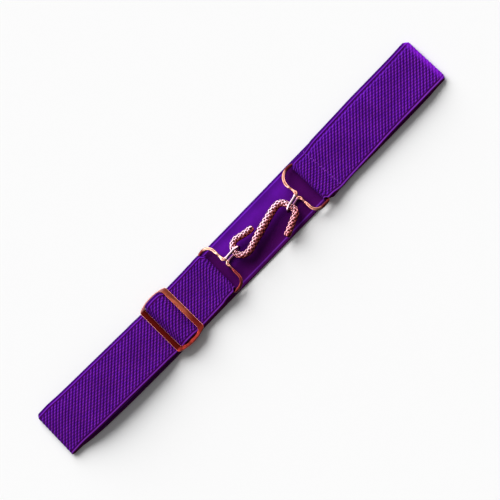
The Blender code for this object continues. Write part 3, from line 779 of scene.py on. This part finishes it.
def makeSnake(c, finish):
    points, radii, along = snakePath(c)
    labels = []

    def scales(k, angles):  # rounded lozenges between two sets of crossing grooves
        up = along[k] / c["scalePitch"]
        turn = angles / (2.0 * math.pi) * c["scalesRound"]
        first = np.abs(np.sin(math.pi * (up + turn)))
        second = np.abs(np.sin(math.pi * (up - turn)))
        pits = 1.0 - (1.0 - first) * (1.0 - second)  # deepest where two grooves cross
        raised = c["lozenge"] * np.sqrt(first * second) + (1.0 - c["lozenge"]) * pits
        fromTip = min(along[k], along[-1] - along[k])
        fade = float(ease(fromTip / c["tipFade"] + 0.5))
        labels.append(np.stack([raised, np.full(len(angles), along[k]), angles], axis=-1))
        return fade * (c["groove"] + (c["crown"] - c["groove"]) * raised)

    loops = tubeLoops(points, radii, c["sides"], False, scales)
    for end, beside in ((0, 1), (-1, -2)):
        out = points[end] - points[beside]
        out /= np.linalg.norm(out)
        caps, capLabels = [], []
        for part in range(1, c["tipSteps"] + 1):
            angle = 0.5 * math.pi * part / (c["tipSteps"] + 0.6)
            size = math.cos(angle) ** c["tipPower"]
            reach = radii[end] * c["tipReach"] * math.sin(angle)
            caps.append(points[end] + (loops[end] - points[end]) * size + out * reach)
            capLabels.append(labels[end])
        if end == 0:
            loops, labels = caps[::-1] + loops, capLabels[::-1] + labels
        else:
            loops, labels = loops + caps, labels + capLabels
    mesh = skinLoops("snakeHook", loops, False, labels)
    made = addPiece("snakeHook", mesh, finish)
    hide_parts("snake_hook")


def sliderOutline(c):
    half = c["halfLength"]
    side = []
    count = c["sideSteps"]
    for index in range(2 * count + 1):
        x = half * (1.0 - index / count)
        side.append((x, c["cornerHalf"] + c["bow"] * (1.0 - (x / half) ** 2)))
    first = 1 + math.ceil(c["outerCorner"] * count / half)
    corners = [(half, 0.0, 0.0), (half, c["cornerHalf"], c["outerCorner"]), (*side[first], 0.0)]
    quarter = roundCorners(corners, c["cornerStep"]) + [Vector(p) for p in side[first + 1:count + 1]]
    top = quarter + [Vector((-p.x, p.y)) for p in quarter[-2::-1]]
    return top + [Vector((p.x, -p.y)) for p in top[-2:0:-1]]


def plate(bm, outline, low, high):
    bottom = [bm.verts.new((p.x * mm, p.y * mm, low * mm)) for p in outline]
    top = [bm.verts.new((p.x * mm, p.y * mm, high * mm)) for p in outline]
    bm.faces.new(bottom[::-1])
    bm.faces.new(top)
    for k in range(len(outline)):
        beside = (k + 1) % len(outline)
        bm.faces.new((bottom[k], bottom[beside], top[beside], top[k]))


def plateObject(name, outlines, thick):
    bm = bmesh.new()
    for outline in outlines:
        plate(bm, outline, -thick, thick)
    bmesh.ops.recalc_face_normals(bm, faces=bm.faces)
    mesh = bpy.data.meshes.new(name)
    bm.to_mesh(mesh)
    bm.free()
    made = bpy.data.objects.new(name, mesh)
    bpy.context.scene.collection.objects.link(made)
    return made


def makeSlider(c, finish):
    near, far = c["centreBar"] / 2.0, c["halfLength"] - c["bar"]
    slots = []
    for hand in (-1.0, 1.0):
        middle = hand * (near + far) / 2.0
        low, high, bow = -c["slotHalf"], c["farSlotHalf"], c["slotBow"]
        slots.append(roundCorners([
            (middle, low - bow, 0.0), (hand * far, low, c["slotCorner"]),
            (hand * far, high, c["slotCorner"]), (middle, high + bow, c["slotCrown"]),
            (hand * near, high + bow, c["slotInnerCorner"]),
            (hand * near, low - bow, c["slotInnerCorner"]),
            (middle, low - bow, 0.0)], c["cornerStep"])[:-1])
    body = plateObject("sliderBody", [sliderOutline(c)], c["thick"] / 2.0)
    cutter = plateObject("sliderCutter", slots, c["thick"] * 2.0)
    cut = body.modifiers.new("slots", "BOOLEAN")
    cut.operation, cut.object = "DIFFERENCE", cutter
    soft = body.modifiers.new("softEdges", "BEVEL")
    soft.width, soft.segments = c["bevel"] * mm, c["bevelSteps"]
    soft.limit_method, soft.angle_limit = "ANGLE", math.radians(c["bevelAngle"])
    bpy.context.view_layer.update()
    shaped = body.evaluated_get(bpy.context.evaluated_depsgraph_get())
    mesh = bpy.data.meshes.new_from_object(shaped)
    place = Matrix.Translation((c["x"] * mm, (c["y"] + axisY) * mm, c["z"] * mm))
    place = place @ Matrix.Rotation(math.radians(c["turn"]), 4, "Z")
    mesh.transform(place)
    mesh.name = "sliderFrame"
    for old in (body, cutter):
        bpy.data.objects.remove(old)
    made = addPiece("sliderFrame", mesh, finish, c["smoothAngle"])
    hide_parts("slider")


polish = {
    "roughness": 0.12,
    "cloudScale": 260.0, "scuffScale": 1900.0,
    "cloudRough": 0.08, "scuffRough": 0.06,  # how far each spreads the roughness
    "bump": 0.2, "bumpDepth": 0.00002,
    "waver": 0.006,  # of the line between the painted bright and deep metal
}
# places along and across the belt, and heights, are in metres
leftPlating = {
    **polish,
    "roughness": 0.10,
    "bright": rgb(0.96, 0.52, 0.37),
    "deep": rgb(0.20, 0.030, 0.030),
    "shade": (0.003, -0.006),  # painted reflection and shade: from bright to deep, by place across the belt
    "front": (-0.0180, -0.0155),  # and by place along it, painted deep on the legs
    "flank": rgb(0.62, 0.24, 0.23),  # painted reflection where the wire turns down to its sides
    "flankFrom": (0.30, 0.62),
    "rail": rgb(0.97, 0.70, 0.80),  # painted highlight: the eye, by place along the belt
    "railFrom": (-0.0114, -0.0104),
    # painted shade on the eye's lower rail
    "railLow": rgb(0.34, 0.14, 0.26),
    "railHeight": (0.0045, 0.0075),
    "railDark": rgb(0.09, 0.012, 0.020),  # painted shade on the side that faces the belt's near edge
    "railTurn": (-0.75, -0.35),
}
rightPlating = {
    **leftPlating,
    # the right ring's painted reflection and shade
    "bright": rgb(0.72, 0.32, 0.23),
    "deep": rgb(0.16, 0.022, 0.022),
    "shade": (-0.012, -0.022),
    "front": (0.0515, 0.0490),
    "railFrom": (0.0446, 0.0436),
}
scalePolishAndShade = {
    **polish,
    # painted reflection and shade: bright on the body's far side, deep on its near side
    "bright": rgb(0.98, 0.66, 0.78),
    "deep": rgb(0.95, 0.42, 0.46),
    "shade": (0.010, -0.018),
    "groove": rgb(0.050, 0.002, 0.004),  # painted shade between the scales
    "outOfGroove": (0.46, 0.92),  # and none on their crowns
    "wornSmooth": 0.2,
    "low": rgb(0.52, 0.090, 0.080),  # painted shade on slopes that face the belt's near edge
    "lowFrom": (0.22, -0.50),
}
copper = {
    **polish,
    # painted reflection: the left bar's face nearly black, the right bar's orange
    "leftFace": rgb(0.170, 0.0100, 0.0060),
    "rightFace": rgb(0.93, 0.22, 0.12),
    "rightLow": rgb(0.33, 0.028, 0.020),
    "darker": (0.004, -0.012),  # painted shade across the belt, from the right bar's face to its low end
    "between": (-0.064, -0.054),  # along the belt, from the left bar to the right one
    "stain": (0.35, 0.7), "stainShare": 0.35,
    "edge": rgb(0.80, 0.38, 0.33),
    "edgeFrom": (0.78, 0.985),  # painted highlight: how far an edge is turned from facing up
    # painted reflection on the near short side, in blotches
    "shortSide": rgb(0.90, 0.095, 0.070),
    "shortDark": rgb(0.42, 0.045, 0.030),
    "shortFrom": (-0.0155, -0.0170),
    "blotch": (0.42, 0.60),
    # painted highlight on the far short side
    "farSide": rgb(0.85, 0.36, 0.32),
    "farFrom": (0.0152, 0.0166),
}


def metalStart(f, name):
    made, w, shader = startFinish(name)
    where = w.node("ShaderNodeTexCoord", None, None, 3)
    facing = w.node("ShaderNodeNewGeometry", None, None, 1)
    cloud = where.noise(f["cloudScale"], 3.0, 0.55)
    scuff = where.noise(f["scuffScale"], 2.0, 0.6)
    least = f["roughness"] - (f["cloudRough"] + f["scuffRough"]) / 2.0
    rough = cloud * f["cloudRough"] + scuff * f["scuffRough"] + least
    setSockets(w, shader, {"Metallic": 1.0, "Normal": scuff.bump(f["bump"], f["bumpDepth"])})
    return made, w, shader, where, facing, cloud, rough


def platingFinish(f, name):
    made, w, shader, where, facing, cloud, rough = metalStart(f, name)
    nearward = facing.part(1)
    # painted reflection and shade: bright where the metal catches the light, deep where it is shaded
    wavering = where.part(1) + cloud * f["waver"] - f["waver"] / 2.0
    lit = 1.0 - wavering.rise(*f["shade"])
    if "front" in f:
        lit = lit * where.part(0).rise(*f["front"])
    colour = lit.mix(f["deep"], f["bright"])
    if "rail" in f:
        # painted reflection on the wire's sides
        colour = facing.part(2).rise(*f["flankFrom"]).mix(f["flank"], colour)
        # painted highlight on the eye, with painted shade on its lower rail and on its near side
        rail = where.part(2).rise(*f["railHeight"]).mix(f["railLow"], f["rail"])
        rail = nearward.rise(*f["railTurn"]).mix(f["railDark"], rail)
        colour = where.part(0).rise(*f["railFrom"]).mix(colour, rail)
    if "groove" in f:
        place = w.node("ShaderNodeAttribute", {"attribute_name": "place"}, None, 1)
        outOfGroove = place.part(0).rise(*f["outOfGroove"])
        # painted shade on slopes that face the near edge
        colour = nearward.rise(*f["lowFrom"]).mix(colour, f["low"])
        # painted shade between the scales
        colour = outOfGroove.mix(f["groove"], colour)
        rough = rough + (1.0 - outOfGroove) * f["wornSmooth"]
    setSockets(w, shader, {"Base Color": colour, "Roughness": rough})
    return made


def copperFinish(f, name):
    made, w, shader, where, facing, cloud, rough = metalStart(f, name)
    across = where.part(1)
    # painted reflection on the bars' faces, with painted shade at the right bar's low end
    rightBar = across.rise(*f["darker"]).mix(f["rightFace"], f["rightLow"])
    flat = where.part(0).rise(*f["between"]).mix(f["leftFace"], rightBar)
    flat = (cloud.rise(*f["stain"]) * f["stainShare"]).mix(flat, f["leftFace"])
    # painted highlight on the bevelled edges
    colour = facing.part(2).rise(*f["edgeFrom"]).mix(f["edge"], flat)
    # painted reflection on the near short side, in blotches
    shortSide = cloud.rise(*f["blotch"]).mix(f["shortDark"], f["shortSide"])
    colour = across.rise(*f["shortFrom"]).mix(colour, shortSide)
    # painted highlight on the far short side
    colour = across.rise(*f["farFrom"]).mix(colour, f["farSide"])
    setSockets(w, shader, {"Base Color": colour, "Roughness": rough})
    return made


makeRing(ring, "left_ring", platingFinish(leftPlating, "roseGoldLeft"))
makeRing(ring, "right_ring", platingFinish(rightPlating, "roseGoldRight"))
makeSnake(snake, platingFinish(scalePolishAndShade, "roseGoldScales"))
makeSlider(slider, copperFinish(copper, "copperPlate"))
print("rings, hook and slider made")

stitch = {
    "far": (66.2, 15.6), "near": (68.0, -15.6),  # the seam's ends: x and place across
    "shift": -1.2,  # of the cloth's middle there
    "count": 16,
    "share": 0.62,  # of its pitch that a stitch covers
    "radius": 0.19,
    "rise": 0.75, "dive": 1.6,  # in radii: how high it lies, and how deep its ends go
    "zigzag": 0.42,
    "sides": 8, "parts": 6,
    "colour": rgb(0.34, 0.060, 0.62),
    "between": rgb(0.20, 0.025, 0.42),  # painted shade between the thread's plies
}


def threadFinish(f):
    made, w, shader = startFinish("purpleThread")
    where = w.node("ShaderNodeTexCoord", None, None, 3)
    ply = w.node("ShaderNodeTexWave", {"bands_direction": "DIAGONAL"}, {
        "Vector": where, "Scale": 900.0, "Distortion": 0.0})
    # painted shade between the plies
    setSockets(w, shader, {
        "Base Color": ply.mix(f["between"], f["colour"]),
        "Roughness": 0.85,
        "Specular IOR Level": 0.05,
        "Normal": ply.bump(0.4, 0.00005),
    })
    return made


def makeStitches(c, carrier, finish):
    vertices = [v.co for v in carrier.data.vertices]
    tree = BVHTree.FromPolygons(vertices, [tuple(p.vertices) for p in carrier.data.polygons])
    bm = bmesh.new()
    far, near = Vector(c["far"]), Vector(c["near"])
    for k in range(c["count"]):
        lean = c["zigzag"] * (1.0 if k % 2 else -1.0)
        middle = (k + 0.5) / c["count"]
        reach = 0.5 * c["share"] / c["count"]
        points = []
        for part in range(c["parts"] + 1):
            t = 2.0 * part / c["parts"] - 1.0
            spot = far.lerp(near, middle + reach * t)
            x, y = spot.x + lean * t, spot.y + axisY + c["shift"]
            above = Vector((x * mm, y * mm, 0.03))
            hit = tree.ray_cast(above, Vector((0.0, 0.0, -1.0)))[0]
            points.append((x, y, hit.z / mm + c["radius"] * (c["rise"] - c["dive"] * t ** 4)))
        loops = tubeLoops(points, [c["radius"]] * len(points), c["sides"], False)
        rings = [[bm.verts.new(p * mm) for p in loop] for loop in loops]
        for a, b in zip(rings, rings[1:]):
            for q in range(c["sides"]):
                beside = (q + 1) % c["sides"]
                bm.faces.new((a[q], a[beside], b[beside], b[q]))
        bm.faces.new(rings[0][::-1])
        bm.faces.new(rings[-1])
    mesh = bpy.data.meshes.new("seamStitches")
    bm.to_mesh(mesh)
    bm.free()
    return addPiece("seamStitches", mesh, finish)


seamStitches = makeStitches(stitch, webbing, threadFinish(stitch))

studio = {
    "floorSize": 8.0,
    "floorZ": -0.00013,  # the belt lies on its cords, which stand out of the cloth by this
    "floor": rgb(0.90, 0.90, 0.90),
    "keyElevation": 33.0, "keyTurn": 4.0,  # low and wide, from beyond the belt's far edge
    "keyWidth": 60.0, "keyPower": 4.95,
    "ambient": 0.22,
    "backdrop": rgb(0.93, 0.93, 0.93),
    # what polished metal reflects: from straight below to straight above
    "room": [(0.0, rgb(0.24, 0.22, 0.25)), (0.38, rgb(0.32, 0.29, 0.33)), (0.45, rgb(1.1, 1.05, 1.15)),
             (0.58, rgb(2.7, 2.6, 2.7)), (0.84, rgb(2.7, 2.6, 2.7)), (0.91, rgb(1.25, 1.2, 1.25)),
             (0.955, rgb(0.43, 0.40, 0.40)), (1.0, rgb(0.40, 0.38, 0.38))],
    "roomTurn": (-0.70, -0.05),  # it is dark behind the viewer, bright beyond the belt
    "roomDark": 0.10,
    # and broken into lighter and darker parts
    "panes": 3.2, "paneEdge": (0.44, 0.56), "paneDark": 0.45, "paneBright": 1.35,
}


def makeStudio(c):
    half = c["floorSize"] / 2.0
    mesh = bpy.data.meshes.new("studioFloor")
    corners = [
        (x * half, y * half, c["floorZ"])
        for x, y in ((-1.0, -1.0), (1.0, -1.0), (1.0, 1.0), (-1.0, 1.0))]
    mesh.from_pydata(corners, [], [(0, 1, 2, 3)])
    floor = bpy.data.objects.new("studioFloor", mesh)
    bpy.context.scene.collection.objects.link(floor)
    matte, w, shader = startFinish("floorPaper")
    setSockets(w, shader, {"Base Color": c["floor"], "Roughness": 0.9, "Specular IOR Level": 0.0})
    mesh.materials.append(matte)
    floor.visible_glossy = False
    elevation, turn = math.radians(c["keyElevation"]), math.radians(c["keyTurn"])
    way = Vector((math.sin(turn), math.cos(turn), 0.0)) * math.cos(elevation)
    way.z = math.sin(elevation)
    data = bpy.data.lights.new("key", "SUN")
    data.angle = math.radians(c["keyWidth"])
    data.energy = c["keyPower"]
    key = bpy.data.objects.new("key", data)
    bpy.context.scene.collection.objects.link(key)
    key.visible_glossy = False  # the room gives the metal its highlights
    key.rotation_mode = "QUATERNION"
    key.rotation_quaternion = way.to_track_quat("Z", "Y")
    world = bpy.data.worlds.new("studio")
    world.use_nodes = True
    bpy.context.scene.world = world
    tree = world.node_tree
    w = Wire(tree, None)
    seen = w.node("ShaderNodeLightPath", None, None, 0)
    glossy = w.node("ShaderNodeLightPath", None, None, 3)
    way = w.node("ShaderNodeTexCoord", None, None, 0)
    reflected = w.node("ShaderNodeValToRGB", {"stops": c["room"]}, {"Fac": way.part(2) * 0.5 + 0.5})
    beyond = way.part(1).rise(*c["roomTurn"])
    panes = way.noise(c["panes"], 0.0, 0.5).rise(*c["paneEdge"])
    dim = beyond * (1.0 - c["roomDark"]) + c["roomDark"]
    dim = dim * (panes * (c["paneBright"] - c["paneDark"]) + c["paneDark"])
    reflected = w.node("ShaderNodeVectorMath", {"operation": "SCALE"}, {0: reflected, "Scale": dim})
    ambient = rgb(c["ambient"], c["ambient"], c["ambient"])
    colour = seen.mix(glossy.mix(ambient, reflected), c["backdrop"])
    background = tree.nodes["Background"]
    tree.links.new(colour.socket, background.inputs["Color"])
    background.inputs["Strength"].default_value = 1.0


makeStudio(studio)
bpy.context.scene.view_settings.view_transform = "Standard"
print("studio lit")
